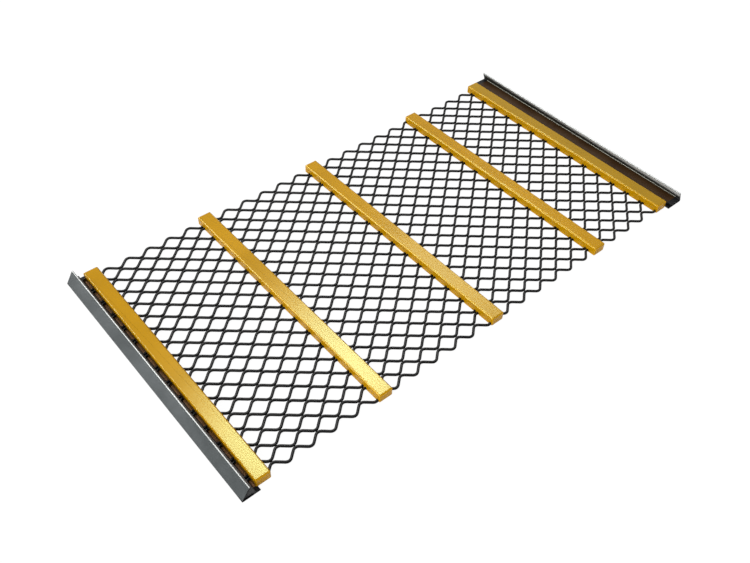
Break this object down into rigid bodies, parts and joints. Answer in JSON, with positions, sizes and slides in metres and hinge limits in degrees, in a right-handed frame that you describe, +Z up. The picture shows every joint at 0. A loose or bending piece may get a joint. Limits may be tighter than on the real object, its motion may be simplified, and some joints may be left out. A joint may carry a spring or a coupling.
{
  "type": "self_cleaning_screen_mesh",
  "caption": "Self-cleaning vibrating screen mesh: zigzag spring-steel wires side by side, held by yellow polyurethane cross strips and ending on two folded steel hook strips.",
  "frame": {"origin": "Middle of the rectangle that the two hook strips stand on, at the height of their undersides", "axes": "X runs along the wires from the near hook strip to the far one, Y across the wires along the cross strips, Z up out of the screening face"},
  "size_m": [1.1484, 0.598, 0.028],
  "materials": {
    "wire_steel": "dark oiled spring steel",
    "polyurethane": "satin golden yellow moulding",
    "hook_steel": "satin blue-grey"
  },
  "bodies": {
    "root": {"wire_01": "wire_steel", "wire_02": "wire_steel", "wire_03": "wire_steel", "wire_04": "wire_steel", "wire_05": "wire_steel", "wire_06": "wire_steel", "wire_07": "wire_steel", "wire_08": "wire_steel", "wire_09": "wire_steel", "wire_10": "wire_steel", "wire_11": "wire_steel", "wire_12": "wire_steel", "wire_13": "wire_steel", "wire_14": "wire_steel", "wire_15": "wire_steel", "wire_16": "wire_steel", "wire_17": "wire_steel", "wire_18": "wire_steel", "wire_19": "wire_steel", "wire_20": "wire_steel", "wire_21": "wire_steel", "wire_22": "wire_steel", "wire_23": "wire_steel", "wire_24": "wire_steel", "wire_25": "wire_steel", "wire_26": "wire_steel", "wire_27": "wire_steel", "wire_28": "wire_steel", "wire_29": "wire_steel", "cross_strip_1": "polyurethane", "cross_strip_2": "polyurethane", "cross_strip_3": "polyurethane", "cross_strip_4": "polyurethane", "cross_strip_5": "polyurethane", "hook_strip_near": "hook_steel", "hook_strip_far": "hook_steel"}
  },
  "joints": []
}
